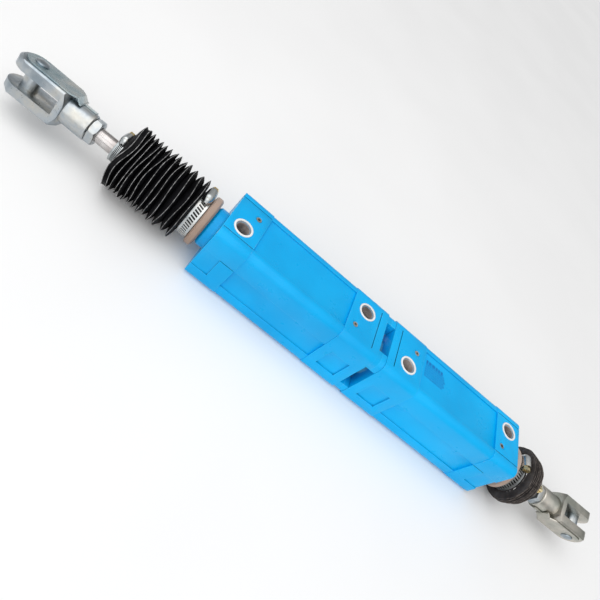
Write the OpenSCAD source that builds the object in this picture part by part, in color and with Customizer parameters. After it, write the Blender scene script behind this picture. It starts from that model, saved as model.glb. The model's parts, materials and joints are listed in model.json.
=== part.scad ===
// Two profile-barrel pneumatic cylinders flanged back to back, each with a bellows over its rod
// and a clip-pin fork on its end. Lengths are in millimetres, +X along the rods, ports on top (+Z).
// Every piece is drawn in the frame of its own cylinder: u runs along +X from the joint plane
// between the two cylinders, and the left cylinder is the right one turned 180 degrees about Z.

/* [Cylinder] */
// Piston diameter
bore_d = 63; // [62:0.5:64]
// Piston travel
stroke = 80; // [60:5:80]
// Side of the square caps
cap_e = 75; // [75:1:80]
// Cap length, from the barrel to the flange face
cap_l = 36.6; // [36:0.2:40]
// Extra flange length of a rear cap
rim_l = 9.6; // [8:0.2:12]
// Height of the four pads that part the rear caps, per cap
pad_h = 6.2; // [5:0.1:8]
// Piston rod diameter
rod_d = 20; // [18:0.5:20]
// Spacing of the corner screws
screw_pitch = 56.5; // [56:0.1:57]

/* [Ports] */
// Core diameter of the port threads
port_d = 15.2; // [14:0.1:15.5]
// Distance of the port from the barrel end of its cap
port_u = 19.2; // [18:0.2:21]
// Distance of the port to the side of the axis
port_v = 11.5; // [10:0.5:12]
// Distance of the cushion screw from the barrel end of its cap
cushion_u = 11; // [10:0.5:13]
// Distance of the cushion screw to the side of the axis
cushion_v = 13.6; // [13:0.2:15]

/* [Rod ends] */
// Rod extension of the left cylinder at rest
left_extension = 68; // [0:1:80]
// Rod extension of the right cylinder at rest
right_extension = 0; // [0:1:80]
// Roll of the left fork about its rod
left_roll = 21; // [0:1:360]
// Roll of the right fork about its rod
right_roll = 107; // [0:1:360]
// Side of the fork's square block
fork_a = 36; // [34:1:38]
// Width of the fork's slot
fork_slot = 16; // [14:0.5:18]
// Diameter of the clip pin
pin_d = 16; // [14:0.5:16]
// Distance of the pin from the end of the fork's neck
fork_pin_l = 64; // [60:1:68]
// Overall length of the fork
fork_l = 83; // [80:1:88]
// Distance of the lock nut from the front face, with the rod home
nut_reach = 73; // [70:1:80]
// Diameter of the rod end thread
stud_d = 16; // [14:0.5:16]

/* [Bellows] */
// Outer radius of the pleats
crest_r = 35.5; // [33:0.5:36]
// Radius of the folds between the pleats
valley_r = 27; // [25:0.5:30]
// Number of pleats
pleats = 13; // [8:1:16]
// Bare rod between the left bellows' clamp and its lock nut
left_bare = 18; // [10:1:20]
// Bare rod between the right bellows' clamp and its lock nut
right_bare = 2; // [1:1:20]

/* [Hidden] */
$fn = 64;
left = -1;
right = 1;
paint = "#00ace6";
zinc = "#b9bfc6";
eps = 0.01;
fit = 0.05;                                 // radial play of running fits

cap_r = 8;                                  // corner radius of the caps
barrel_e = cap_e - 1;                       // side of the barrel
rib_w = 11;                                 // width of the barrel's ribs beside its top and bottom panels
panel_depth = 1.6;                          // depth of the flat panels between the ribs
side_panel_w = 29;                          // height of the panels in the two side faces
side_panel_drop = 5.7;                      // distance of their middle below the axis
pocket_slant = 3;                           // slope of the cap pockets' floors, in degrees
barrel_screw_d = 7.6;                       // holes in the barrel's ends for the cap screws' threads
spigot_l = 5;                               // part of each cap that enters the bore
spigot_d = bore_d - 0.2;
rear_u = pad_h;                             // flange face of a rear cap
barrel_u = rear_u + rim_l + cap_l;          // rear end of the barrel
piston_l = 28;
piston_seat_d = 12;                         // where the rod carries the piston
barrel_l = stroke + piston_l + 2 * spigot_l + 0.2;
front_u = barrel_u + barrel_l;              // barrel end of the front cap
face_u = front_u + cap_l;                   // front face of the front cap

boss_d = 28;                                // cushion boss, and its chamber in the cap
boss_l = 18;
chamber_d = 31;
chamber_l = 23;
bush_l = 12;
collar_d = 45;
collar_l = 10.7;
wiper_d = 30;
wiper_l = 7;

adaptor_u = face_u + collar_l;              // inner end of the bellows adaptor's lip
adaptor_lip_l = 8.6;
adaptor_d = 57;
sleeve_r = 22.4;                            // adaptor sleeve that the bellows cuff sits on
cuff_t = 1.6;                               // thickness of the bellows cloth at its cuffs
clamp_u = adaptor_u + adaptor_lip_l + 0.4;
clamp_w = 11.4;
bellows_u = clamp_u + clamp_w + 0.6;        // first pleat
nose_l = 10;
rod_clamp_w = 8;
nut_u = face_u + nut_reach;                 // lock nut
rod_step_u = nut_u - 19;                    // where the rod narrows to its thread
nut_l = 8;
nut_af = 24;
neck_u = nut_u + nut_l + 0.3;               // neck end of the fork
stud_in_fork = 27;

piston_u = barrel_u + spigot_l + 0.1;       // rear face of the piston, with the rod home
neck_r = 14;
neck_l = 26;
slot_u = fork_pin_l - 32;                   // bottom of the fork's slot
clip_t = 1.2;
clip_w = 28;
clip_bend_u = 21.5;                         // where the clip leaves the block
clip_hook_u = 18;                           // where it meets the neck
clip_hook_w = 14;

reach_left = neck_u + fork_l + left_extension;
reach_right = neck_u + fork_l + right_extension;
mid_x = (reach_left - reach_right) / 2;     // puts the origin under the middle of the whole length
axis_z = cap_e / 2;

function extension(side) = side == left ? left_extension : right_extension;
function roll(side) = side == left ? left_roll : right_roll;
// The nose of each bellows, with the rod home: its place and its inner radius
function nose_u(side) = nut_u - (side == left ? left_bare : right_bare) - nose_l;
function nose_r(side) = (side == left ? rod_d : stud_d) / 2 + 0.2;
// The retracted right bellows domes in towards its nose
function crest(side, i) = side == left || i < 3 ? crest_r : crest_r * sqrt(1 - pow((i - 3) / pleats, 2));

// ---- frames ----
module on_side(side) {
    translate([mid_x, 0, axis_z]) rotate([0, 0, side == left ? 180 : 0]) children();
}

module on_rod(side) {
    on_side(side) translate([extension(side), 0, 0]) children();
}

module on_fork(side) {
    on_rod(side) translate([neck_u, 0, 0]) rotate([roll(side), 0, 0]) children();
}

// ---- shared shapes ----
// A round bar along u, from u to u + l
module bar(u, l, d) {
    translate([u, 0, 0]) rotate([0, 90, 0]) cylinder(d = d, h = l);
}

// A turned piece: points are [radius, u]
module turned(points) {
    rotate([0, 90, 0]) rotate_extrude() polygon(points);
}

module ring(u, l, d_out, d_in) {
    turned([[d_in / 2, u], [d_out / 2, u], [d_out / 2, u + l], [d_in / 2, u + l]]);
}

// Rounded square made of true arcs
module rounded_square(e, r) {
    square([e, e - 2 * r], center = true);
    square([e - 2 * r, e], center = true);
    for (y = [-1, 1], z = [-1, 1])
        translate([y * (e / 2 - r), z * (e / 2 - r)]) circle(r = r);
}

// Extrudes a v, w section along u
module along(u, l) {
    translate([u, 0, 0]) rotate([90, 0, 90]) linear_extrude(l) children();
}

module at_corners(pitch) {
    for (y = [-1, 1], z = [-1, 1])
        translate([0, y * pitch / 2, z * pitch / 2]) children();
}

module hex_bar(u, l, af, chamfer) {
    corner = af / sqrt(3);
    intersection() {
        translate([u, 0, 0]) rotate([0, 90, 0]) cylinder(r = corner, h = l, $fn = 6);
        turned([[0, u], [af / 2 + 0.3, u], [corner + eps, u + chamfer], [corner + eps, u + l - chamfer],
                [af / 2 + 0.3, u + l], [0, u + l]]);
    }
}

// ---- barrel ----
module barrel() {
    panel_w = barrel_e - 2 * rib_w;
    screw_hole_l = 24;
    color(paint)
    difference() {
        along(barrel_u, barrel_l) difference() {
            rounded_square(barrel_e, cap_r);
            for (z = [-1, 1])
                translate([0, z * barrel_e / 2]) square([panel_w, 2 * panel_depth], center = true);
            for (y = [-1, 1])
                translate([y * barrel_e / 2, -side_panel_drop])
                    square([2 * panel_depth, side_panel_w], center = true);
            circle(d = bore_d);
        }
        at_corners(screw_pitch) {
            bar(barrel_u - eps, screw_hole_l, barrel_screw_d);
            bar(front_u - screw_hole_l, screw_hole_l + eps, barrel_screw_d);
        }
    }
}

// ---- caps ----
// The port and cushion passages of a cap. e is the barrel end of the cap, and dir points away from it.
module cap_passages(e, dir) {
    side_v = -dir;                          // the port is on the other side in the rear cap
    port_x = e + dir * port_u;
    screw_x = e + dir * cushion_u;
    translate([port_x, -side_v * port_v, 0]) {
        translate([0, 0, cap_e / 2 - 14]) cylinder(d = port_d, h = 15);
        translate([0, 0, cap_e / 2 - 0.8]) cylinder(d = 21.4, h = 2);
        translate([0, 0, chamber_d / 2 - 4]) cylinder(d = 7, h = cap_e / 2 - 22);
    }
    translate([screw_x, side_v * cushion_v, 0]) {
        translate([0, 0, 12]) cylinder(d = 6 + 2 * fit, h = cap_e / 2);
        translate([0, 0, cap_e / 2 - 1.2]) cylinder(d1 = 6.1, d2 = 9, h = 1.3);
    }
}

// Shallow cast pockets in the two side faces, from u to u + l, with slanted ends
module side_pockets(u, l, depth) {
    for (y = [-1, 1], tilt = [-1, 1])
        translate([u + l / 2, y * cap_e / 2, -side_panel_drop])
            rotate([0, 0, tilt * pocket_slant])
                cube([l, 2 * depth, side_panel_w - 1], center = true);
}

// Step lines along a front cap, in line with the edges of the barrel's panels
module cap_lines() {
    line_w = 1.2;
    line_depth = 0.7;
    line_v = barrel_e / 2 - rib_w;
    for (y = [-1, 1]) {
        for (z = [-1, 1])
            translate([face_u, y * line_v, z * cap_e / 2])
                cube([2 * cap_l, line_w, 2 * line_depth], center = true);
        translate([face_u, y * cap_e / 2, side_panel_w / 2 - side_panel_drop])
            cube([2 * cap_l, 2 * line_depth, line_w], center = true);
    }
}

module front_cap() {
    head_d = 13;
    color(paint)
    difference() {
        union() {
            along(front_u, cap_l) rounded_square(cap_e, cap_r);
            bar(front_u - spigot_l, spigot_l + eps, spigot_d);
            turned([[0, face_u - eps], [collar_d / 2, face_u - eps], [collar_d / 2, adaptor_u - 2.5],
                    [collar_d / 2 - 2.5, adaptor_u], [0, adaptor_u]]);
        }
        bar(front_u - spigot_l - eps, spigot_l + chamber_l, chamber_d);
        bar(front_u, cap_l + collar_l, rod_d + 4);
        bar(adaptor_u - wiper_l, wiper_l + eps, wiper_d);
        ring(front_u - 3.2, 2.4, spigot_d + 1, spigot_d - 4);
        at_corners(screw_pitch) {
            bar(front_u - eps, cap_l + 1, 8.4);
            bar(face_u - 9, 10, head_d + 1);
        }
        side_pockets(face_u - 20, 24, 1);
        cap_lines();
        cap_passages(front_u, 1);
    }
}

module rear_cap() {
    groove_w = 1.4;
    recess_l = 4;
    pocket_l = 25;
    pad_v = 21;                             // inner edges of the corner pads
    color(paint)
    difference() {
        union() {
            along(rear_u, rim_l + cap_l) rounded_square(cap_e, cap_r);
            bar(barrel_u - eps, spigot_l + eps, spigot_d);
            // corner pads that meet the other cylinder's
            intersection() {
                along(0, rear_u + eps) rounded_square(cap_e - 2, cap_r);
                for (y = [-1, 1], z = [-1, 1])
                    translate([-eps, y > 0 ? pad_v : -cap_e / 2, z > 0 ? pad_v : -cap_e / 2])
                        cube([rear_u + 2 * eps, cap_e / 2 - pad_v, cap_e / 2 - pad_v]);
            }
        }
        bar(barrel_u - chamber_l + 2, chamber_l + spigot_l, chamber_d);
        bar(rear_u - eps, recess_l, collar_d + 2 * fit);
        ring(barrel_u + 0.8, 2.4, spigot_d + 1, spigot_d - 4);
        at_corners(screw_pitch) bar(-eps, barrel_u + 1, 8.4);
        // step line round the flange, between the corners
        for (z = [-1, 1])
            translate([rear_u + rim_l, 0, z * cap_e / 2]) cube([groove_w, 54, 2.4], center = true);
        side_pockets(rear_u + rim_l + 1, pocket_l, 1.6);
        cap_passages(barrel_u, -1);
    }
}

// Four collar screws per cap, whose threaded heads take the mounting screws
module cap_screws() {
    head_d = 13;
    head_l = 8.8;
    color(zinc)
    at_corners(screw_pitch) {
        difference() {
            union() {
                bar(face_u - 9, head_l, head_d);
                bar(front_u - 20, 20.6, barrel_screw_d - 0.1);
                bar(front_u + 0.5, cap_l - 9.4, 8);
            }
            bar(face_u - 14, 15, 6.8);
        }
        bar(rear_u + 16, rim_l + cap_l + 4, barrel_screw_d - 0.1);
    }
}

module port_washers() {
    color("white")
    for (p = [[front_u + port_u, port_v], [barrel_u - port_u, -port_v]])
        translate([p[0], p[1], cap_e / 2 - 0.8])
            rotate_extrude() translate([8.5, 0]) square([2.1, 1.5]);
}

// The needle valve that throttles the air at the end of the stroke
module cushion_screw(e, dir) {
    hex_af = 3;
    color(zinc)
    translate([e + dir * cushion_u, -dir * cushion_v, 0])
        difference() {
            union() {
                translate([0, 0, 19]) cylinder(d = 6, h = cap_e / 2 - 19 - 0.9);
                translate([0, 0, 14]) cylinder(d1 = 1.5, d2 = 5, h = 5 + eps);
            }
            translate([0, 0, cap_e / 2 - 3.4]) cylinder(d = hex_af / cos(30), h = 3, $fn = 6);
        }
}

module rod_bush() {
    color("#b08a4a")
    ring(front_u + chamber_l + 1, bush_l, rod_d + 4, rod_d + 2 * fit);
}

module rod_wiper() {
    color("#333333")
    difference() {
        ring(adaptor_u - wiper_l, wiper_l, wiper_d - 0.1, rod_d + 2 * fit);
        ring(adaptor_u - 2.5, 3, wiper_d - 3, rod_d + 4);
    }
}

module cushion_seals() {
    color("#333333") {
        ring(front_u - spigot_l + 1, 3, chamber_d - 0.1, boss_d + 0.4);
        ring(barrel_u + spigot_l - 4, 3, chamber_d - 0.1, boss_d + 0.4);
    }
}

module cap_orings() {
    color("#333333") {
        ring(front_u - 3.1, 2.2, bore_d - 0.1, spigot_d - 3.9);
        ring(barrel_u + 0.9, 2.2, bore_d - 0.1, spigot_d - 3.9);
    }
}

// ---- bellows and their clamps ----
module bellows_adaptor() {
    color("#c09a74")
    turned([[wiper_d / 2 - 2, adaptor_u + 0.1], [adaptor_d / 2 - 2, adaptor_u + 0.1],
            [adaptor_d / 2, adaptor_u + 2], [adaptor_d / 2, adaptor_u + adaptor_lip_l - 1.5],
            [adaptor_d / 2 - 1.5, adaptor_u + adaptor_lip_l], [sleeve_r, adaptor_u + adaptor_lip_l],
            [sleeve_r, clamp_u + clamp_w], [sleeve_r - 3, clamp_u + clamp_w],
            [sleeve_r - 3, adaptor_u + adaptor_lip_l - 3],
            [wiper_d / 2 - 2, adaptor_u + adaptor_lip_l - 3]]);
}

// A worm-drive clamp at u: band, saddle and worm housing, turned by roll about the rod
module hose_clamp(u, w, r, saddle, turn) {
    band_t = 0.8;
    housing_r = min(5.4, w / 2 + 0.4);
    color(zinc)
    rotate([turn, 0, 0])
    difference() {
        union() {
            ring(u, w, 2 * (r + band_t), 2 * r);
            translate([u, -saddle / 2, r - 2]) cube([w, saddle, 5]);
            translate([u + w / 2, -saddle / 2, r + 4.2]) rotate([-90, 0, 0])
                cylinder(r = housing_r, h = saddle);
        }
        bar(u - 1, w + 2, 2 * r);
        translate([u + w / 2, -saddle, r + 4.2]) rotate([-90, 0, 0])
            cylinder(r = 3.6, h = 1.5 * saddle - 1.6);
    }
}

module clamp_screw(u, w, r, saddle, turn) {
    head_l = 4.5;
    color(zinc)
    rotate([turn, 0, 0]) translate([u + w / 2, 0, r + 4.2]) {
        translate([0, -saddle / 2 - 0.5, 0]) rotate([-90, 0, 0]) cylinder(r = 3.4, h = saddle - 1.5);
        translate([0, -saddle / 2 - 0.4, 0]) rotate([90, 0, 0])
            difference() {
                cylinder(r = 4.04, h = head_l, $fn = 6);
                translate([-5, -0.6, head_l - 1.4]) cube([10, 1.2, 2]);
            }
    }
}

// The large clamp on the adaptor's sleeve, and the small one on the nose
big_r = sleeve_r + cuff_t + 0.1;
big_saddle = 18;
big_turn = 4;
small_saddle = 13;
small_turn = 8;
function small_r(side) = nose_r(side) + cuff_t + 0.1;

module bellows_clamp(side) {
    hose_clamp(clamp_u, clamp_w, big_r, big_saddle, -side * big_turn);
}

module bellows_clamp_screw(side) {
    clamp_screw(clamp_u, clamp_w, big_r, big_saddle, -side * big_turn);
}

module rod_clamp(side) {
    hose_clamp(nose_u(side) + 0.8, rod_clamp_w, small_r(side), small_saddle, -side * small_turn);
}

module rod_clamp_screw(side) {
    clamp_screw(nose_u(side) + 0.8, rod_clamp_w, small_r(side), small_saddle, -side * small_turn);
}

// Pleated cloth sleeve, from its cuff under the large clamp to its nose under the small one
module bellows(side) {
    length = nose_u(side) - bellows_u + extension(side);
    pitch = length / pleats;
    inner_r = 19.5;
    tip_r = nose_r(side);
    wall = min(4, length / 4);
    color("#17171c")
    turned(concat(
        [[sleeve_r + 0.1, clamp_u], [sleeve_r + cuff_t, clamp_u], [sleeve_r + cuff_t, bellows_u]],
        [for (i = [0 : pleats - 1], k = [0, 1])
            k == 0 ? [min(valley_r, crest(side, i) - 6), bellows_u + (i + 0.02) * pitch]
                   : [crest(side, i), bellows_u + (i + 0.5) * pitch]],
        [[min(valley_r, crest(side, pleats - 1) - 6), bellows_u + length - 0.02 * pitch],
         [tip_r + cuff_t, bellows_u + length], [tip_r + cuff_t, bellows_u + length + nose_l - 1.5],
         [tip_r, bellows_u + length + nose_l - 1.5], [tip_r, bellows_u + length - wall / 2],
         [inner_r, bellows_u + length - wall],
         [inner_r, clamp_u + clamp_w + 0.3], [sleeve_r + 0.1, clamp_u + clamp_w + 0.3]]
    ));
}

// ---- rod and piston ----
module piston_rod() {
    color("#c9ced4")
    turned([[0, piston_u - boss_l], [piston_seat_d / 2, piston_u - boss_l],
            [piston_seat_d / 2, piston_u + piston_l], [rod_d / 2, piston_u + piston_l],
            [rod_d / 2, rod_step_u - 2], [stud_d / 2, rod_step_u], [stud_d / 2, neck_u + stud_in_fork - 1],
            [stud_d / 2 - 1, neck_u + stud_in_fork], [0, neck_u + stud_in_fork]]);
}

module piston() {
    groove_d = bore_d - 9;
    color("#8f959c")
    difference() {
        ring(piston_u, piston_l, bore_d - 0.8, piston_seat_d + 0.1);
        ring(piston_u + 3, 4.2, bore_d, groove_d);
        ring(piston_u + piston_l - 7.2, 4.2, bore_d, groove_d);
        ring(piston_u + 10, 8, bore_d, bore_d - 5);
    }
}

module piston_seals() {
    color("#2b2b2b") {
        ring(piston_u + 3.1, 4, bore_d - 2 * fit, bore_d - 8.9);
        ring(piston_u + piston_l - 7.1, 4, bore_d - 2 * fit, bore_d - 8.9);
    }
}

module wear_ring() {
    color("#e8e4d8")
    ring(piston_u + 10.1, 7.8, bore_d - 2 * fit, bore_d - 4.9);
}

module cushion_bosses() {
    color("#8f959c") {
        ring(piston_u + piston_l + 0.05, boss_l - 2.5, boss_d, rod_d + 0.1);
        ring(piston_u - boss_l + 8, boss_l - 8.05, boss_d, 12.1);
    }
}

module piston_nut() {
    color(zinc)
    difference() {
        hex_bar(piston_u - boss_l + 0.9, 7, 19, 1);
        bar(piston_u - boss_l, 9, 12.1);
    }
}

module lock_nut() {
    color(zinc)
    difference() {
        hex_bar(nut_u, nut_l, nut_af, 1.2);
        bar(nut_u - 1, nut_l + 2, stud_d + 0.1);
    }
}

// ---- fork, pin and clip ----
// t runs along +X from the end of the neck, and the pin lies along +Z
module fork() {
    envelope_r = 24.4;                      // the block's corners are turned off to this radius
    tip_r = 16;                             // and the tips chamfered down to this one
    chamfer_l = 10;
    color(zinc)
    difference() {
        intersection() {
            union() {
                translate([neck_l, -fork_a / 2, -fork_a / 2]) cube([fork_l - neck_l, fork_a, fork_a]);
                bar(0, neck_l + 1, 2 * neck_r);
            }
            turned([[0, 0], [neck_r - 1, 0], [neck_r, 1], [neck_r, neck_l - 3.5],
                    [envelope_r, neck_l + 4], [envelope_r, fork_l - chamfer_l],
                    [tip_r, fork_l], [0, fork_l]]);
            // arms rounded about the pin
            union() {
                translate([-1, -fork_a, -fork_a]) cube([fork_pin_l + 1, 2 * fork_a, 2 * fork_a]);
                translate([fork_pin_l, 0, -fork_a]) cylinder(r = fork_l - fork_pin_l, h = 2 * fork_a);
            }
        }
        translate([slot_u, -fork_a, -fork_slot / 2]) cube([fork_l, 2 * fork_a, fork_slot]);
        bar(-1, slot_u + 2, stud_d + 2 * fit);
        translate([fork_pin_l, 0, -fork_a]) cylinder(d = pin_d + 2 * fit, h = 2 * fork_a);
    }
}

module fork_pin() {
    head_z = fork_a / 2 + 0.3 + clip_t;
    tail_z = -fork_a / 2 - 3;
    color(zinc)
    translate([fork_pin_l, 0, 0]) rotate_extrude()
        polygon([[0, tail_z], [pin_d / 2 - 1, tail_z], [pin_d / 2, tail_z + 1],
                 [pin_d / 2, fork_a / 2 + 0.25], [6, fork_a / 2 + 0.25],
                 [6, head_z + 0.05], [6.8, head_z + 0.05],
                 [6.2, head_z + 1.4], [3.6, head_z + 2.2], [0, head_z + 2.4]]);
}

// Sheet strip from the pin to the neck, folded round it and open on one side
module pin_clip() {
    base = fork_a / 2 + 0.3;
    hook_r = neck_r + 0.35;
    clip_hook_half = 9;
    shoulder_l = 6;                         // where the strip narrows before its bend
    color("#d8dce0")
    difference() {
        union() {
            translate([0, 0, base]) linear_extrude(clip_t)
                polygon([[fork_pin_l, -clip_w / 2], [fork_pin_l, clip_w / 2],
                         [clip_bend_u + shoulder_l, clip_w / 2], [clip_bend_u, clip_hook_half],
                         [clip_bend_u, -clip_hook_half], [clip_bend_u + shoulder_l, -clip_w / 2]]);
            translate([fork_pin_l, 0, base]) cylinder(d = clip_w, h = clip_t);
            // the sloping stretch down to the neck
            rotate([90, 0, 0]) translate([0, 0, -clip_hook_half]) linear_extrude(2 * clip_hook_half)
                polygon([[clip_bend_u + eps, base], [clip_bend_u + eps, base + clip_t],
                         [clip_hook_u - 0.5, hook_r + clip_t], [clip_hook_u - 2, hook_r + clip_t],
                         [clip_hook_u - 2, hook_r - 0.02], [clip_hook_u, hook_r - 0.02]]);
            // half hoop round the neck
            intersection() {
                ring(clip_hook_u - clip_hook_w, clip_hook_w, 2 * (hook_r + clip_t), 2 * hook_r);
                translate([0, -20, -20]) cube([clip_hook_u, 20, 40]);
            }
        }
        translate([fork_pin_l, 0, base - 1]) cylinder(r = 6.05, h = 4);
    }
}

// ---- joint between the cylinders ----
module joint_studs() {
    stud_l = 2 * (rear_u + 13);
    color(zinc)
    translate([mid_x, 0, axis_z]) at_corners(screw_pitch) bar(-stud_l / 2, stud_l, 8);
}

module centring_ring() {
    half_l = rear_u + 3.8;
    color(paint)
    translate([mid_x, 0, axis_z]) ring(-half_l, 2 * half_l, collar_d, 28);
}

on_side(left) barrel();  // left_barrel
on_side(left) front_cap();  // left_front_cap
on_side(left) rear_cap();  // left_rear_cap
on_side(left) cap_screws();  // left_cap_screws
on_side(left) port_washers();  // left_port_washers
on_side(left) rod_bush();  // left_rod_bush
on_side(left) rod_wiper();  // left_rod_wiper
on_side(left) cushion_seals();  // left_cushion_seals
on_side(left) cap_orings();  // left_cap_orings
on_side(left) cushion_screw(front_u, 1);  // left_front_cushion_screw
on_side(left) cushion_screw(barrel_u, -1);  // left_rear_cushion_screw
on_side(left) bellows_adaptor();  // left_bellows_adaptor
on_side(left) bellows_clamp(left);  // left_bellows_clamp
on_side(left) bellows_clamp_screw(left);  // left_bellows_clamp_screw
on_side(left) bellows(left);  // left_bellows
on_rod(left) piston_rod();  // left_piston_rod
on_rod(left) piston();  // left_piston
on_rod(left) piston_seals();  // left_piston_seals
on_rod(left) wear_ring();  // left_wear_ring
on_rod(left) cushion_bosses();  // left_cushion_bosses
on_rod(left) piston_nut();  // left_piston_nut
on_rod(left) rod_clamp(left);  // left_rod_clamp
on_rod(left) rod_clamp_screw(left);  // left_rod_clamp_screw
on_rod(left) lock_nut();  // left_lock_nut
on_fork(left) fork();  // left_fork
on_fork(left) fork_pin();  // left_fork_pin
on_fork(left) pin_clip();  // left_pin_clip
on_side(right) barrel();  // right_barrel
on_side(right) front_cap();  // right_front_cap
on_side(right) rear_cap();  // right_rear_cap
on_side(right) cap_screws();  // right_cap_screws
on_side(right) port_washers();  // right_port_washers
on_side(right) rod_bush();  // right_rod_bush
on_side(right) rod_wiper();  // right_rod_wiper
on_side(right) cushion_seals();  // right_cushion_seals
on_side(right) cap_orings();  // right_cap_orings
on_side(right) cushion_screw(front_u, 1);  // right_front_cushion_screw
on_side(right) cushion_screw(barrel_u, -1);  // right_rear_cushion_screw
on_side(right) bellows_adaptor();  // right_bellows_adaptor
on_side(right) bellows_clamp(right);  // right_bellows_clamp
on_side(right) bellows_clamp_screw(right);  // right_bellows_clamp_screw
on_side(right) bellows(right);  // right_bellows
on_rod(right) piston_rod();  // right_piston_rod
on_rod(right) piston();  // right_piston
on_rod(right) piston_seals();  // right_piston_seals
on_rod(right) wear_ring();  // right_wear_ring
on_rod(right) cushion_bosses();  // right_cushion_bosses
on_rod(right) piston_nut();  // right_piston_nut
on_rod(right) rod_clamp(right);  // right_rod_clamp
on_rod(right) rod_clamp_screw(right);  // right_rod_clamp_screw
on_rod(right) lock_nut();  // right_lock_nut
on_fork(right) fork();  // right_fork
on_fork(right) fork_pin();  // right_fork_pin
on_fork(right) pin_clip();  // right_pin_clip
joint_studs();
centring_ring();
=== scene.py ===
import json
import math
import random

import bmesh
import bpy
from mathutils import Matrix, Vector


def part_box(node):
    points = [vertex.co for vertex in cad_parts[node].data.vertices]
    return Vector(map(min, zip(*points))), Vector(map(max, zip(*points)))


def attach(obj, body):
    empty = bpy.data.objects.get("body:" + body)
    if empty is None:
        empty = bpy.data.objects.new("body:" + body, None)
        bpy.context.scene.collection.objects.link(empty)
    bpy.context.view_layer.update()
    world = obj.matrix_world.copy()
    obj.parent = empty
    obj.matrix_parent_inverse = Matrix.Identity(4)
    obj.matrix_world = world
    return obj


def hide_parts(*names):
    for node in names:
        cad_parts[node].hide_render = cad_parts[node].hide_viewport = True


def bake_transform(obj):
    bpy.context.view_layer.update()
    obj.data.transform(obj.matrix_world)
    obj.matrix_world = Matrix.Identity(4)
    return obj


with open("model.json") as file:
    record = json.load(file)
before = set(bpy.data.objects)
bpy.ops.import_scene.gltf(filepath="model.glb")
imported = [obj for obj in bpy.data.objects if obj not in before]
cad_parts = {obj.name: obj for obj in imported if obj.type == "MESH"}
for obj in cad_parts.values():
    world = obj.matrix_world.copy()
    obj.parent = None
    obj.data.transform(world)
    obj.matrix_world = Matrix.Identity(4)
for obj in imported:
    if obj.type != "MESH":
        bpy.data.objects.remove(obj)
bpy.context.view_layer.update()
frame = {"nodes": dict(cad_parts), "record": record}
MM = 0.001
SIDES = {"left": -1, "right": 1}

# ---- places, read from the frame ------------------------------------------------------------
NODES = frame["nodes"]
ring_low, ring_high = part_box("centring_ring")
MID_X = (ring_low.x + ring_high.x) / 2          # joint plane between the two cylinders
AXIS_Z = (ring_low.z + ring_high.z) / 2         # height of the common axis
SLOTS = {s["node"]: s["material_slot"] for s in frame["record"]["subparts"]}

# sizes along a cylinder, in millimetres from the joint plane, as in the CAD part
BARREL_U = 52.4
FRONT_U = 170.6
PORT_FROM_BARREL = 19.2
PORT_V = 11.5
PANEL_W = 35.4                                  # floor of the barrels' top panels, above the axis
CLAMP_U = 226.9
CLAMP_W = 11.4
SLEEVE_R = 22.4
CUFF_T = 1.6
BIG_R = 24.1
NUT_U = 280.2
ROD_STEP_U = 261.2
ROD_CLAMP_W = 8.0
BIG_SADDLE = 18.0                               # lengths of the worm housings
SMALL_SADDLE = 13.0
NOSE_U = {"left": 252.2, "right": 268.2}
NOSE_R = {"left": 10.2, "right": 8.2}
SMALL_R = {side: radius + CUFF_T + 0.1 for side, radius in NOSE_R.items()}
EXTENSION = {"left": 68.0, "right": 0.0}


def place(side, u, v=0.0, w=0.0):
    """A point of a cylinder's own frame in the row frame. The left cylinder is turned half round."""
    sign = SIDES[side]
    return Vector((MID_X + sign * u, sign * v, AXIS_Z + w))


def around(side, u, radius, angle):
    """A point on a circle about the rod axis, from millimetres and radians."""
    return place(side, u * MM, radius * MM * math.cos(angle), radius * MM * math.sin(angle))


# ---- materials ------------------------------------------------------------------------------
MATERIALS = {}


def node_graph(name):
    """A new material, kept under its name, as its node tree and its shader."""
    material = bpy.data.materials.new(name)
    material.use_nodes = True
    MATERIALS[name] = material
    tree = material.node_tree
    return tree, tree.nodes["Principled BSDF"]


def coords(tree, scale=(1, 1, 1)):
    """The object's own coordinates, stretched by scale."""
    source = tree.nodes.new("ShaderNodeTexCoord")
    mapping = tree.nodes.new("ShaderNodeMapping")
    mapping.inputs["Scale"].default_value = scale
    tree.links.new(source.outputs["Object"], mapping.inputs["Vector"])
    return mapping.outputs["Vector"]


def noise(tree, vector, scale, detail=4.0, roughness=0.55):
    node = tree.nodes.new("ShaderNodeTexNoise")
    node.inputs["Scale"].default_value = scale
    node.inputs["Detail"].default_value = detail
    node.inputs["Roughness"].default_value = roughness
    tree.links.new(vector, node.inputs["Vector"])
    return node.outputs["Fac"]


def ramp(tree, factor, *stops):
    """A colour or grey ramp. Each stop is its position and its colour or grey."""
    node = tree.nodes.new("ShaderNodeValToRGB")
    elements = node.color_ramp.elements
    while len(elements) < len(stops):
        elements.new(0.5)
    for element, (position, colour) in zip(elements, stops):
        rgb = colour if isinstance(colour, tuple) else (colour, colour, colour)
        element.position = position
        element.color = (*rgb, 1.0)
    tree.links.new(factor, node.inputs["Fac"])
    return node.outputs["Color"]


def bump(tree, shader, height, strength, distance):
    node = tree.nodes.new("ShaderNodeBump")
    node.inputs["Strength"].default_value = strength
    node.inputs["Distance"].default_value = distance
    tree.links.new(height, node.inputs["Height"])
    tree.links.new(node.outputs["Normal"], shader.inputs["Normal"])


def scaled(colour, by, plus=0.0):
    """A colour times a number, with some white added."""
    return tuple(min(1.0, c * by + plus) for c in colour)


def combined(tree, operation, first, second):
    """Two node outputs joined by a Math node."""
    node = tree.nodes.new("ShaderNodeMath")
    node.operation = operation
    tree.links.new(first, node.inputs[0])
    tree.links.new(second, node.inputs[1])
    return node.outputs["Value"]


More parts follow.
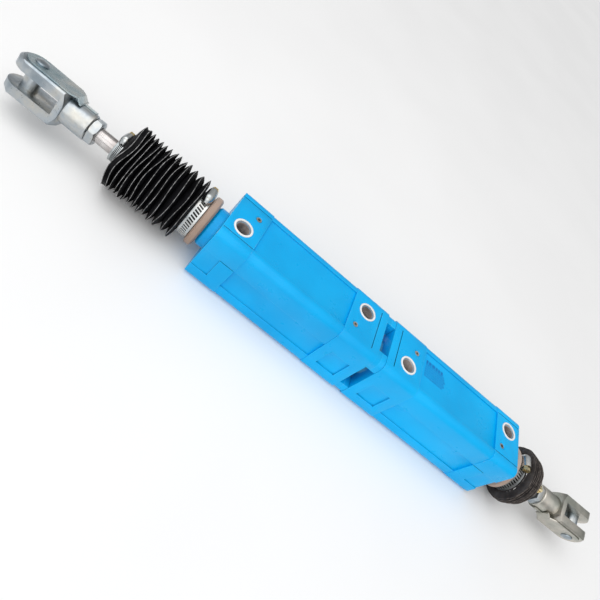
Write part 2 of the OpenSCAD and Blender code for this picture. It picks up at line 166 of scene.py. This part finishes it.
def mixed(tree, factor, first, second):
    """The first colour where the factor is 0, and the second where it is 1."""
    node = tree.nodes.new("ShaderNodeMix")
    node.data_type = "RGBA"
    tree.links.new(factor, node.inputs["Factor"])
    tree.links.new(first, node.inputs["A"])
    tree.links.new(second, node.inputs["B"])
    return node.outputs["Result"]


def openness(tree, reach, inside):
    """1 on open or flat surfaces, and less in creases, or on outer edges if looked at from inside."""
    node = tree.nodes.new("ShaderNodeAmbientOcclusion")
    node.samples = 8
    node.inside = inside
    node.only_local = True
    node.inputs["Distance"].default_value = reach
    return node.outputs["AO"]


RIM_REACH = 0.0012                              # width of the worn edges and of their painted highlight, in metres
CREASE_REACH = 0.0035                           # width of the painted shade in the creases


def paint(name, dark, middle, light, grain, edges=True):
    """Brushed enamel: slow colour drift, orange peel, painted shade in the creases, a painted highlight
    on the outer edges, and chipped edges.
    """
    tree, shader = node_graph(name)
    vector = coords(tree)
    drift = ramp(tree, noise(tree, vector, 9, 3), (0.3, dark), (0.52, middle), (0.74, light))
    scuffs = ramp(tree, noise(tree, coords(tree, (1, 3, 3)), 120, 6, 0.7), (0.64, 0.0), (0.72, 0.35))
    worn = ramp(tree, noise(tree, vector, 30, 2), (0.4, scaled(dark, 0.8)), (0.6, middle))
    colour = mixed(tree, scuffs, drift, worn)
    if edges:
        rim = openness(tree, RIM_REACH, True)
        # painted highlight: the outer edges are lightened towards the light paint colour; the bare chips
        # mixed in next are wear
        edge_highlight_mask = ramp(tree, rim, (0.45, 0.6), (0.88, 0.0))
        edge_highlight_colour = ramp(tree, noise(tree, vector, 25, 2), (0.4, scaled(light, 1.25, 0.03)),
                     (0.6, scaled(light, 1.1, 0.1)))
        colour = mixed(tree, edge_highlight_mask, colour, edge_highlight_colour)
        chips = ramp(tree, noise(tree, vector, 170, 6, 0.75), (0.60, 0.0), (0.66, 1.0))
        spots = combined(tree, "MULTIPLY", chips, ramp(tree, rim, (0.45, 0.8), (0.85, 0.0)))
        bare = ramp(tree, noise(tree, vector, 60, 2), (0.4, (0.42, 0.52, 0.60)),
                    (0.6, (0.62, 0.66, 0.70)))
        colour = mixed(tree, spots, colour, bare)
    # painted shade: creases and recesses are darkened towards a near-black tone of the dark colour
    crease_shade_mask = ramp(tree, openness(tree, CREASE_REACH, False), (0.25, 0.9), (0.82, 0.0))
    shade = ramp(tree, noise(tree, vector, 40, 2), (0.4, scaled(dark, 0.22)), (0.6, scaled(dark, 0.34)))
    tree.links.new(mixed(tree, crease_shade_mask, colour, shade), shader.inputs["Base Color"])
    gloss = ramp(tree, noise(tree, vector, 60, 5), (0.35, 0.27), (0.7, 0.44))
    tree.links.new(gloss, shader.inputs["Roughness"])
    shader.inputs["Specular IOR Level"].default_value = 0.22
    bump(tree, shader, noise(tree, vector, grain, 5, 0.6), 0.3, 0.0007)


def metal(name, tints, rough, grain=(1, 1, 1), grain_scale=300, strength=0.08, punched=False):
    """Bare or plated metal: tint drift, smudged roughness and a fine grain. Punched slots are dark."""
    tree, shader = node_graph(name)
    tint = ramp(tree, noise(tree, coords(tree), 45, 4),
                (0.36, tints[0]), (0.5, tints[1]), (0.66, tints[2]))
    if punched:
        slots = tree.nodes.new("ShaderNodeAttribute")
        slots.attribute_name = "slot"
        rubber = ramp(tree, noise(tree, coords(tree), 90, 3), (0.4, 0.02), (0.6, 0.05))
        tint = mixed(tree, slots.outputs["Fac"], tint, rubber)
    tree.links.new(tint, shader.inputs["Base Color"])
    shader.inputs["Metallic"].default_value = 1.0
    smudge = noise(tree, coords(tree, grain), grain_scale, 5, 0.65)
    tree.links.new(ramp(tree, smudge, (0.3, rough[0]), (0.7, rough[1])), shader.inputs["Roughness"])
    bump(tree, shader, smudge, strength, 0.0003)


def cloth(name, dark, light, edge_dark, edge_light, gloss):
    """Coated woven cloth: a fine weave, dusty patches and a soft sheen."""
    tree, shader = node_graph(name)
    vector = coords(tree)
    body = ramp(tree, noise(tree, vector, 70, 6, 0.65), (0.35, dark), (0.7, light))
    # the crest lips of the pleats take a lighter tone, from edge_dark to edge_light
    crest_lip_attribute = tree.nodes.new("ShaderNodeAttribute")
    crest_lip_attribute.attribute_name = "edge"
    thread = ramp(tree, noise(tree, vector, 260, 3), (0.38, edge_dark), (0.62, edge_light))
    where = ramp(tree, crest_lip_attribute.outputs["Fac"], (0.35, 0.0), (0.75, 1.0))
    tree.links.new(mixed(tree, where, body, thread), shader.inputs["Base Color"])
    weave = []
    for direction in ("X", "Y", "Z"):
        wave = tree.nodes.new("ShaderNodeTexWave")
        wave.bands_direction = direction
        wave.inputs["Scale"].default_value = 420
        wave.inputs["Distortion"].default_value = 0.6
        tree.links.new(vector, wave.inputs["Vector"])
        weave.append(wave.outputs["Fac"])
    threads = combined(tree, "ADD", combined(tree, "ADD", weave[0], weave[1]), weave[2])
    tree.links.new(ramp(tree, noise(tree, vector, 90, 4), (0.3, 0.5), (0.7, 0.78)),
                   shader.inputs["Roughness"])
    shader.inputs["Specular IOR Level"].default_value = gloss
    bump(tree, shader, threads, 0.25, 0.0003)


def plain_soft(name, dark, light, rough, strength=0.1):
    """Moulded rubber or plastic: slight mottling and a matt, faintly pebbled skin."""
    tree, shader = node_graph(name)
    vector = coords(tree)
    tree.links.new(ramp(tree, noise(tree, vector, 80, 4), (0.35, dark), (0.68, light)),
                   shader.inputs["Base Color"])
    tree.links.new(ramp(tree, noise(tree, vector, 160, 4), (0.3, rough[0]), (0.7, rough[1])),
                   shader.inputs["Roughness"])
    bump(tree, shader, noise(tree, vector, 900, 2), strength, 0.0002)


paint("blue_paint", (0.0, 0.35, 0.74), (0.0, 0.42, 0.85), (0.0, 0.47, 0.92), 700)
metal("zinc", ((0.28, 0.33, 0.37), (0.42, 0.46, 0.49), (0.54, 0.53, 0.49)), (0.24, 0.46))
metal("zinc_dull", ((0.36, 0.37, 0.33), (0.50, 0.49, 0.44), (0.62, 0.58, 0.52)), (0.26, 0.48))
metal("chrome_rod", ((0.34, 0.31, 0.30), (0.50, 0.47, 0.46), (0.62, 0.60, 0.59)), (0.14, 0.28),
      (1, 6, 6), 200, 0.04)
metal("spring_steel", ((0.30, 0.42, 0.46), (0.46, 0.55, 0.58), (0.62, 0.64, 0.62)), (0.18, 0.36))
metal("clamp_band", ((0.40, 0.43, 0.44), (0.52, 0.54, 0.54), (0.64, 0.63, 0.60)), (0.24, 0.42),
      punched=True)
metal("clamp_steel", ((0.44, 0.47, 0.48), (0.58, 0.60, 0.60), (0.70, 0.69, 0.66)), (0.18, 0.38))
metal("brass_screw", ((0.60, 0.46, 0.22), (0.72, 0.58, 0.30), (0.80, 0.70, 0.44)), (0.22, 0.4))
paint("copper_ring", (0.26, 0.17, 0.12), (0.42, 0.31, 0.25), (0.54, 0.47, 0.43), 900, False)
cloth("cloth_left", (0.0015, 0.0015, 0.002), (0.006, 0.006, 0.008),
      (0.12, 0.12, 0.12), (0.42, 0.42, 0.42), 0.12)
cloth("cloth_right", (0.016, 0.013, 0.013), (0.075, 0.066, 0.063),
      (0.06, 0.050, 0.046), (0.20, 0.17, 0.15), 0.3)
plain_soft("white_washer", (0.80, 0.80, 0.79), (0.88, 0.88, 0.87), (0.35, 0.5))
plain_soft("seal", (0.018, 0.018, 0.018), (0.035, 0.035, 0.035), (0.45, 0.65))
metal("bronze", ((0.45, 0.30, 0.14), (0.58, 0.41, 0.20), (0.66, 0.50, 0.28)), (0.3, 0.5))
paint("ring_blue", (0.05, 0.20, 0.34), (0.08, 0.30, 0.46), (0.14, 0.38, 0.55), 500, False)
# port threads: a dull bare-metal tone, darkened further as painted shade for the inside of the port holes
plain_soft("port_metal_in_shade", (0.10, 0.085, 0.08), (0.36, 0.31, 0.29), (0.35, 0.6))
paint("print_ink", (0.0, 0.13, 0.42), (0.0, 0.17, 0.52), (0.0, 0.22, 0.6), 900, False)
metal("alloy", ((0.58, 0.55, 0.53), (0.68, 0.66, 0.64), (0.76, 0.75, 0.74)), (0.25, 0.45))
plain_soft("wear_plastic", (0.72, 0.70, 0.62), (0.82, 0.80, 0.72), (0.4, 0.55))


# ---- mesh helpers ---------------------------------------------------------------------------
def new_piece(name, mesh, body, material, smooth=35):
    """A visual piece that rides on a body. Edges over smooth degrees stay sharp."""
    piece = bpy.data.objects.new(name, mesh)
    bpy.context.scene.collection.objects.link(piece)
    piece.data.materials.append(MATERIALS[material])
    piece.data.shade_smooth()
    piece.data.set_sharp_from_angle(angle=math.radians(smooth))
    if body:
        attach(piece, body)
    return piece


def mesh_of(bm, name):
    bmesh.ops.recalc_face_normals(bm, faces=bm.faces)
    mesh = bpy.data.meshes.new(name)
    bm.to_mesh(mesh)
    bm.free()
    return mesh


def body_of(node):
    """The body that a CAD node belongs to."""
    for body, members in frame["record"]["behaviour"]["bodies"].items():
        if node in members:
            return body
    raise ValueError(node)


def bevelled(piece, width, segments):
    """Rounds the piece's sharp edges, and bakes the result into its mesh."""
    bevel = piece.modifiers.new("bevel", "BEVEL")
    bevel.width = width
    bevel.segments = segments
    bevel.limit_method = "ANGLE"
    bevel.angle_limit = math.radians(38)
    bevel.harden_normals = False
    view = bpy.context.evaluated_depsgraph_get()
    baked = bpy.data.meshes.new_from_object(piece.evaluated_get(view))
    piece.modifiers.clear()
    piece.data = baked


def softened(node, width, material=None, segments=2):
    """A CAD node's own shape with every sharp edge rounded, shown in place of the node."""
    bm = bmesh.new()
    bm.from_mesh(NODES[node].data)
    bmesh.ops.remove_doubles(bm, verts=bm.verts, dist=0.000005)
    bmesh.ops.dissolve_limit(bm, angle_limit=math.radians(0.6), verts=bm.verts, edges=bm.edges)
    slot = SLOTS[node]
    piece = new_piece(node + "_finished", mesh_of(bm, node), None, material or slot)
    bevelled(piece, width, segments)
    piece.data.shade_smooth()
    piece.data.set_sharp_from_angle(angle=math.radians(40))
    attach(piece, body_of(node))
    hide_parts(node)


def lathe(name, side, points, body, material, steps=96, smooth=35):
    """A closed ring turned about the rod axis from (radius, u) points in millimetres."""
    bm = bmesh.new()
    loops = []
    for radius, u in points:
        loops.append([bm.verts.new(around(side, u, radius, 2 * math.pi * k / steps))
                      for k in range(steps)])
    for near, far in zip(loops, loops[1:] + loops[:1]):
        for k in range(steps):
            bm.faces.new((near[k], near[(k + 1) % steps], far[(k + 1) % steps], far[k]))
    return new_piece(name, mesh_of(bm, name), body, material, smooth)


# ---- painted housing ------------------------------------------------------------------------
for side in SIDES:
    softened(f"{side}_barrel", 0.0006)
    softened(f"{side}_front_cap", 0.0009)
    softened(f"{side}_rear_cap", 0.0012)
softened("centring_ring", 0.0006, "ring_blue")


# ---- printed panel: plain bars in place of lettering ----------------------------------------
def printed_bars():
    """Rows of raised ink dashes on the right barrel's top panel, next to its rear cap."""
    chance = random.Random(31)
    top_w = PANEL_W + 0.06
    rows = [(17.6, 4.6, 3.6, 1.1)] + [(12.4 - 3.1 * k, 1.7, 2.1, 0.7) for k in range(6)]
    bm = bmesh.new()
    for v, tall, dash, gap in rows:
        u = BARREL_U + 4.5
        end = BARREL_U + chance.uniform(27, 34)
        while u < end:
            size = dash * chance.uniform(0.7, 1.5)
            corners = [(u, v), (u + size, v), (u + size, v - tall), (u, v - tall)]
            low = [bm.verts.new(place("right", a * MM, b * MM, PANEL_W * MM)) for a, b in corners]
            top = [bm.verts.new(place("right", a * MM, b * MM, top_w * MM)) for a, b in corners]
            bm.faces.new(top)
            bm.faces.new(tuple(reversed(low)))
            for k in range(4):
                bm.faces.new((low[k], low[(k + 1) % 4], top[(k + 1) % 4], top[k]))
            u += size + gap
    new_piece("right_panel_print", mesh_of(bm, "print"), "housing", "print_ink")


printed_bars()

# ---- forks, pins, nuts ----------------------------------------------------------------------
for side in SIDES:
    softened(f"{side}_fork", 0.0008, "zinc" if side == "left" else "zinc_dull", 3)
    softened(f"{side}_lock_nut", 0.0003, "zinc")
    softened(f"{side}_fork_pin", 0.0002, "zinc")
    softened(f"{side}_port_washers", 0.0003)


# ---- ports: bare threads below the washers --------------------------------------------------
def port_liner(name, side, u, v):
    """The threaded wall of a port, as a ring of small ridges, down to a floor with the air hole."""
    top_w, floor_w, crest, root, bore = 36.9, 24.0, 6.9, 7.5, 3.5
    ridges = 9
    steps = 56
    profile = [(root + 0.06, 36.6), (8.45, 36.72), (8.45, top_w)]
    for k in range(ridges):
        w = top_w - 0.3 - k * (top_w - floor_w - 1) / ridges
        profile += [(root, w), (crest, w - 0.6)]
    profile += [(root, floor_w + 0.4), (root, floor_w), (bore, floor_w), (bore, floor_w - 0.3),
                (root + 0.06, floor_w - 0.3)]
    bm = bmesh.new()
    loops = []
    for radius, w in profile:
        loop = []
        for k in range(steps):
            a = 2 * math.pi * k / steps
            centre = place(side, u * MM, (v + radius * math.cos(a)) * MM, w * MM)
            loop.append(bm.verts.new(centre + Vector((radius * MM * math.sin(a), 0, 0))))
        loops.append(loop)
    for upper, lower in zip(loops, loops[1:] + loops[:1]):
        for k in range(steps):
            bm.faces.new((upper[k], upper[(k + 1) % steps], lower[(k + 1) % steps], lower[k]))
    return new_piece(name, mesh_of(bm, name), "housing", "port_metal_in_shade", 50)


for side in SIDES:
    port_liner(f"{side}_front_port_thread", side, FRONT_U + PORT_FROM_BARREL, PORT_V)
    port_liner(f"{side}_rear_port_thread", side, BARREL_U - PORT_FROM_BARREL, -PORT_V)


# ---- rods: ground shaft and a cut thread ----------------------------------------------------
def threaded_rod(side):
    """The CAD rod with its thread end turned down to the root, and one helical ridge wound on it."""
    cad = NODES[f"{side}_piston_rod"]
    extension = EXTENSION[side]
    start = (ROD_STEP_U + extension) * MM
    core, crest, pitch = 7.25 * MM, 7.98 * MM, 1.5 * MM
    length = (NUT_U + extension + 24) * MM - start
    bm = bmesh.new()
    bm.from_mesh(cad.data)
    for vert in bm.verts:
        u = (vert.co.x - MID_X) * SIDES[side]
        across = Vector((0, vert.co.y, vert.co.z - AXIS_Z))
        if u > start + 0.5 * MM and across.length > core:
            across.length = core
            vert.co.y = across.y
            vert.co.z = across.z + AXIS_Z
    per_turn = 40
    count = int(length / pitch * per_turn)
    rows = []
    for k in range(count):
        angle = 2 * math.pi * k / per_turn
        u = start + pitch * k / per_turn
        grow = min(1.0, k / per_turn, (count - 1 - k) / per_turn)
        top = core - 0.05 * MM + (crest - core) * max(0.02, grow)
        ring = [(core - 0.1 * MM, -0.42), (top, -0.12), (top, 0.12), (core - 0.1 * MM, 0.42)]
        rows.append([bm.verts.new(place(side, u + shift * pitch,
                                        r * math.cos(angle), r * math.sin(angle)))
                     for r, shift in ring])
    for near, far in zip(rows, rows[1:]):
        for k in range(4):
            bm.faces.new((near[k], near[(k + 1) % 4], far[(k + 1) % 4], far[k]))
    for row in (rows[0], rows[-1]):
        bm.faces.new(row)
    piece = new_piece(f"{side}_rod_threaded", mesh_of(bm, "rod"), f"{side}_rod", "chrome_rod", smooth=50)
    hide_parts(f"{side}_piston_rod")


for side in SIDES:
    threaded_rod(side)


# ---- worm-drive clamps ----------------------------------------------------------------------
def hose_clamp(side, label, node, middle_u, width, radius, turn, body, tail_angle):
    """A slotted band with rolled edges, a pressed worm housing over it, and a free tail."""
    steps = 384
    per_slot = 8
    slant = 0.25
    thick = 0.75
    half = width / 2
    bm = bmesh.new()
    layer = bm.verts.layers.float.new("slot")
    loops = []
    for k in range(steps):
        angle = 2 * math.pi * k / steps
        in_slot = k % per_slot >= per_slot / 2
        dent = 0.55 if in_slot else 0.0
        profile = [(radius, -half), (radius + thick, -half), (radius + thick + 0.18, -half + 0.6),
                   (radius + thick, -half + 1.2), (radius + thick, -half * 0.52),
                   (radius + thick - dent, -half * 0.48), (radius + thick - dent, half * 0.48),
                   (radius + thick, half * 0.52), (radius + thick, half - 1.2),
                   (radius + thick + 0.18, half - 0.6), (radius + thick, half), (radius, half)]
        row = []
        for r, along in profile:
            a = angle + slant * along / radius * (1 if abs(along) < half * 0.55 else 0)
            vert = bm.verts.new(around(side, middle_u + along, r, a))
            vert[layer] = 1.0 if in_slot and radius < r < radius + thick else 0.0
            row.append(vert)
        loops.append(row)
    size = len(loops[0])
    for near, far in zip(loops, loops[1:] + loops[:1]):
        for k in range(size):
            bm.faces.new((near[k], near[(k + 1) % size], far[(k + 1) % size], far[k]))
    band = new_piece(f"{side}_{label}_band", mesh_of(bm, "band"), body, "clamp_band", 25)
    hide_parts(node)
    clamp_housing(side, label, middle_u, width, radius, turn, body)
    clamp_tail(side, label, middle_u, width, radius, tail_angle, body)


def clamp_housing(side, label, middle_u, width, radius, turn, body):
    """The domed worm housing: an arch over the screw with flared feet that hug the band."""
    saddle = BIG_SADDLE if width == CLAMP_W else SMALL_SADDLE
    lift = 4.2
    bulge = min(5.3, width / 2 + 0.35)
    across = 18
    rings = 15
    bm = bmesh.new()
    outer = []
    inner = []
    for j in range(rings):
        along = -1 + 2 * j / (rings - 1)
        if along < 0.3:
            pinch = 1.0 - 0.10 * abs(along) ** 3
        else:
            pinch = math.sqrt(1 - 0.93 * ((along - 0.3) / 0.7) ** 2)
        outer_row, inner_row = [], []
        for i in range(across):
            a = math.pi * i / (across - 1)
            du = bulge * pinch * math.cos(a)
            rise = (lift + bulge * math.sin(a)) * (pinch if along > 0.3 else 1) + 0.3
            foot = 1.0 if i in (0, across - 1) else 0.0
            for row, shrink in ((outer_row, 0.0), (inner_row, 0.8)):
                width_here = du * (1 - shrink / bulge)
                height = radius + (rise - shrink * math.sin(a)) * (1 - foot) + foot * 0.5
                v = along * saddle / 2
                point = Vector((width_here, v, height))
                row.append(bm.verts.new(rolled(side, middle_u, point, turn)))
        outer.append(outer_row)
        inner.append(inner_row)
    for rows, flip in ((outer, False), (inner, True)):
        for near, far in zip(rows, rows[1:]):
            for k in range(across - 1):
                face = (near[k], near[k + 1], far[k + 1], far[k])
                bm.faces.new(tuple(reversed(face)) if flip else face)
    for row_out, row_in in ((outer[0], inner[0]), (outer[-1], inner[-1])):
        for k in range(across - 1):
            bm.faces.new((row_out[k], row_out[k + 1], row_in[k + 1], row_in[k]))
    for end in (0, across - 1):
        for near, far, near_in, far_in in zip(outer, outer[1:], inner, inner[1:]):
            bm.faces.new((near[end], far[end], far_in[end], near_in[end]))
    new_piece(f"{side}_{label}_housing", mesh_of(bm, "housing"), body, "clamp_steel", smooth=40)


def rolled(side, middle_u, point, turn):
    """A point of a clamp drawn upright (u, v, height above the axis), rolled about the rod."""
    angle = math.radians(turn)
    v = point.y * math.cos(angle) - point.z * math.sin(angle)
    w = point.y * math.sin(angle) + point.z * math.cos(angle)
    return place(side, (middle_u + point.x) * MM, v * MM, w * MM)


def clamp_tail(side, label, middle_u, width, radius, angle, body):
    """The band's free end: it lies on the band, then lifts off it to a pointed tip."""
    steps = 26
    bm = bmesh.new()
    rows = []
    for k in range(steps):
        t = k / (steps - 1)
        a = math.radians(angle + 42 * t)
        lift = 0.95 + 2.6 * max(0.0, t - 0.55) ** 2 * 9
        half = (width / 2 - 0.9) * (1.0 if t < 0.8 else math.sqrt(max(0.02, 1 - ((t - 0.8) / 0.2) ** 2)))
        r = radius + lift
        rows.append([bm.verts.new(around(side, middle_u + du, r + dr, a))
                     for du, dr in ((-half, 0), (half, 0), (half, 0.6), (-half, 0.6))])
    for near, far in zip(rows, rows[1:]):
        for k in range(4):
            bm.faces.new((near[k], near[(k + 1) % 4], far[(k + 1) % 4], far[k]))
    for row in (rows[0], rows[-1]):
        bm.faces.new(row)
    new_piece(f"{side}_{label}_tail", mesh_of(bm, "tail"), body, "clamp_steel", smooth=30)


BIG_TURN = 4                                    # roll of the clamps about the rod, in degrees
SMALL_TURN = 8
BIG_TAIL = {"left": 200, "right": 250}          # where the bands' free ends start
SMALL_TAIL = 200
for side, sign in SIDES.items():
    hose_clamp(side, "bellows_clamp", f"{side}_bellows_clamp", CLAMP_U + CLAMP_W / 2, CLAMP_W,
               BIG_R, -sign * BIG_TURN, "housing", BIG_TAIL[side])
    hose_clamp(side, "rod_clamp", f"{side}_rod_clamp",
               NOSE_U[side] + EXTENSION[side] + 0.8 + ROD_CLAMP_W / 2, ROD_CLAMP_W,
               SMALL_R[side], -sign * SMALL_TURN, f"{side}_rod", SMALL_TAIL)


def stretch_between(piece):
    """Bakes the pleat's placement into its mesh."""
    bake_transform(piece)


def ripple(seed, waves):
    """A smooth random function of the angle round the rod, about -1 to 1."""
    chance = random.Random(seed)
    terms = [(n, chance.uniform(-1, 1) / n ** 0.7, chance.uniform(0, 2 * math.pi)) for n in waves]
    total = math.sqrt(sum(size * size for _, size, _ in terms)) or 1.0

    def value(angle):
        return sum(size * math.cos(n * angle + phase) for n, size, phase in terms) / total
    return value


PLEAT_CURVE = 1.9                               # how late the flanks turn towards the crest
PLEAT_FLUTE = 0.16                              # height of the flanks' fine folds


def pleat(side, index, near, far, inner, outer, lean, crumple, edge_width, blunt=False):
    """One sewn pleat: two flanks from valley to valley that meet in a stitched lip at the crest.
    A blunt one ends in two lips with a hollow between them."""
    steps = 180
    waver = ripple(100 * (SIDES[side] + 2) + index, (2, 3, 4, 5))
    shared = ripple(7 + SIDES[side], (1, 2, 3, 5))
    rough = ripple(900 + index, (2, 3, 5, 8))
    flute = ripple(300 + index, (9, 13, 17, 21))
    flank = (0.0, 0.2, 0.42, 0.6, 0.74, 0.85, 0.93, 1.0)
    bm = bmesh.new()
    layer = bm.verts.layers.float.new("edge")
    loops = []
    for k in range(steps):
        a = 2 * math.pi * k / steps
        crest = outer + 0.55 * rough(a) - 0.2
        shift = lean(a) + crumple * (0.62 * shared(a + 0.13 * index) + 0.38 * waver(a))
        tip = (near + far) / 2 + shift
        low = tip - edge_width / 2
        high = tip + edge_width / 2
        row = []
        for t in flank:
            swell = PLEAT_FLUTE * flute(a) * math.sin(math.pi * t)
            row.append((inner + (crest - inner) * t, near + (low - near) * t ** PLEAT_CURVE + swell, 0.0))
        if blunt:
            notch = 1.2 + 0.8 * rough(a + 2)
            row += [(crest + 0.3, low + 0.05, 1.0), (crest + 0.3, low + 0.45, 1.0),
                    (crest - 0.4, low + 0.7, 0.0), (crest - notch, tip, 0.0),
                    (crest - 0.4, high - 0.7, 0.0),
                    (crest + 0.3, high - 0.45, 1.0), (crest + 0.3, high - 0.05, 1.0)]
        else:
            row += [(crest + 0.35, tip - edge_width * 0.35, 1.0),
                    (crest + 0.35, tip + edge_width * 0.35, 1.0)]
        for t in reversed(flank):
            swell = PLEAT_FLUTE * flute(a + 1) * math.sin(math.pi * t)
            row.append((inner + (crest - inner) * t, far + (high - far) * t ** PLEAT_CURVE + swell, 0.0))
        made = []
        for r, u, edge in row:
            vert = bm.verts.new(around(side, u, r, a))
            vert[layer] = edge
            made.append(vert)
        loops.append(made)
    size = len(loops[0])
    for here, there in zip(loops, loops[1:] + loops[:1]):
        for k in range(size - 1):
            bm.faces.new((here[k], here[k + 1], there[k + 1], there[k]))
    return new_piece(f"{side}_pleat_{index:02d}", mesh_of(bm, "pleat"), None, f"cloth_{side}", smooth=60)


# rest positions of the valleys along each bellows, in millimetres from the joint plane
VALLEYS = {
    "left": (238.9, 244.6, 253.2, 261.8, 268.6, 274.6, 280.6, 286.4, 292.0, 297.2, 302.0, 306.6, 312.0,
             320.2),
    "right": (238.9, 241.4, 243.8, 246.1, 248.4, 250.6, 252.8, 255.0, 257.2, 259.4, 261.6, 263.8, 266.0,
              268.2),
}
MOUTH_R = {"left": 24.7, "right": 26.2}         # outer end of the cuff, where the first pleat starts
END_R = {"left": 24.8, "right": 12.5}           # outer edge of the nose's collar


def left_lean(a):
    """The left pleats hang towards the clamp below and towards the rod above."""
    return 2.0 * math.cos(a - math.radians(230))


def right_lean(a):
    """The right pleats are pushed a little askew."""
    return 0.8 * math.cos(a - math.radians(60))


def left_pleat(index, near, far, last):
    """Pleats of even height. The last one before the rod is thick and blunt."""
    outer = 35.2 - 0.9 * (index % 3 == 1)
    edge_width = 5.4 if last else 0.55
    return pleat("left", index, near, far, 24.6, outer, left_lean, 2.1, edge_width, last)


def right_pleat(index, near, far):
    """Pressed pleats, which dome in towards the rod."""
    reach = max(0.0, (index - 2) / 12.2)
    outer = 35.3 * math.sqrt(1 - reach ** 2)
    inner = min(27.0, outer - 2.6)
    return pleat("right", index, near, far, inner, outer, right_lean, 0.9, 0.5)


def bellows(side):
    """The pleats, with a cuff under the large clamp and a nose under the small one."""
    valleys = VALLEYS[side]
    first, last = valleys[0], valleys[-1]
    for index, (near, far) in enumerate(zip(valleys, valleys[1:])):
        if side == "left":
            piece = left_pleat(index, near, far, far == last)
        else:
            piece = right_pleat(index, near, far)
        stretch_between(piece)
        if index == 0:
            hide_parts(f"{side}_bellows")
    sleeve = SLEEVE_R + 0.05
    cuff_r = SLEEVE_R + CUFF_T
    lathe(f"{side}_bellows_cuff", side,
          [(sleeve, CLAMP_U - 0.2), (cuff_r, CLAMP_U - 0.2), (cuff_r, first),
           (MOUTH_R[side], first + 0.05), (24.3, first + 0.2), (sleeve, first - 0.4)],
          "housing", f"cloth_{side}", smooth=50)
    tip = NOSE_R[side]
    nose_r = tip + CUFF_T
    lathe(f"{side}_bellows_nose", side,
          [(END_R[side], last - 0.05), (nose_r + 0.5, last + 0.05), (nose_r, last + 0.6),
           (nose_r, last + 8.4), (tip, last + 8.5), (tip, last - 0.9), (END_R[side], last - 0.9)],
          f"{side}_rod", f"cloth_{side}", smooth=50)


for side in SIDES:
    bellows(side)

# ---- every CAD node that stays takes its finish ----------------------------------------------
FINISHES = {"left_pin_clip": "spring_steel", "right_pin_clip": "zinc_dull"}
for side in SIDES:
    FINISHES[f"{side}_front_cushion_screw"] = "zinc_dull"
    FINISHES[f"{side}_rear_cushion_screw"] = "zinc_dull"
    FINISHES[f"{side}_bellows_clamp_screw"] = "brass_screw"
    FINISHES[f"{side}_rod_clamp_screw"] = "brass_screw"
for name, cad in NODES.items():
    cad.data.materials.clear()
    cad.data.materials.append(MATERIALS[FINISHES.get(name, SLOTS[name])])

# ---- camera, light and floor ----------------------------------------------------------------
VIEW_AZIMUTH = math.radians(18.4)
VIEW_ELEVATION = math.radians(42.4)
VIEW_ROLL = math.radians(52.0)
VIEW_FROM = Vector((-0.231, -0.412, 0.3965))    # from the joint plane's centre
LENS = 33.4
SENSOR = 36.0

forward = Vector((math.sin(VIEW_AZIMUTH) * math.cos(VIEW_ELEVATION),
                  math.cos(VIEW_AZIMUTH) * math.cos(VIEW_ELEVATION), -math.sin(VIEW_ELEVATION)))
level = Vector((math.cos(VIEW_AZIMUTH), -math.sin(VIEW_AZIMUTH), 0.0))
upright = level.cross(forward)
image_x = math.cos(VIEW_ROLL) * level + math.sin(VIEW_ROLL) * upright
image_y = -math.sin(VIEW_ROLL) * level + math.cos(VIEW_ROLL) * upright
camera_data = bpy.data.cameras.new("camera")
camera_data.lens = LENS
camera_data.sensor_width = SENSOR
camera = bpy.data.objects.new("camera", camera_data)
turn = Matrix((image_x, image_y, -forward)).transposed().to_4x4()
camera.matrix_world = Matrix.Translation(VIEW_FROM + Vector((MID_X, 0, AXIS_Z))) @ turn
bpy.context.scene.collection.objects.link(camera)
bpy.context.scene.camera = camera


def area_light(name, location, target, size, power):
    data = bpy.data.lights.new(name, "AREA")
    data.shape = "DISK"
    data.size = size
    data.energy = power
    lamp = bpy.data.objects.new(name, data)
    lamp.location = location
    lamp.rotation_euler = (Vector(target) - Vector(location)).to_track_quat("-Z", "Y").to_euler()
    bpy.context.scene.collection.objects.link(lamp)


area_light("top_softbox", (-0.5, -0.1, 1.1), (0, 0, 0), 1.1, 2.5)
area_light("front_softbox", (-0.2, -1.2, 0.7), (0, 0, 0.05), 1.3, 3.5)

sun_data = bpy.data.lights.new("sky_panel", "SUN")
sun_data.energy = 1.1
sun_data.angle = math.radians(110)
sun = bpy.data.objects.new("sky_panel", sun_data)
sun.rotation_euler = (math.radians(28), math.radians(-18), 0)
bpy.context.scene.collection.objects.link(sun)

world = bpy.data.worlds.new("studio")
world.use_nodes = True
sky_tree = world.node_tree
direction = sky_tree.nodes.new("ShaderNodeTexCoord")
axes = sky_tree.nodes.new("ShaderNodeSeparateXYZ")
sky_tree.links.new(direction.outputs["Generated"], axes.inputs["Vector"])
sky = ramp(sky_tree, axes.outputs["Z"], (0.0, 0.34), (0.25, 0.30), (0.6, 0.55), (1.0, 0.72))
sky_tree.links.new(sky, sky_tree.nodes["Background"].inputs["Color"])
bpy.context.scene.world = world

bm = bmesh.new()
bmesh.ops.create_grid(bm, x_segments=1, y_segments=1, size=6.0)
floor = bpy.data.objects.new("floor", mesh_of(bm, "floor"))
bpy.context.scene.collection.objects.link(floor)
floor_tree, floor_shader = node_graph("floor")
floor_tint = ramp(floor_tree, noise(floor_tree, coords(floor_tree), 3, 2), (0.4, 0.90), (0.6, 0.92))
floor_tree.links.new(floor_tint, floor_shader.inputs["Base Color"])
floor_shader.inputs["Roughness"].default_value = 0.8
floor.data.materials.append(MATERIALS["floor"])
bpy.context.scene.view_settings.view_transform = "Standard"
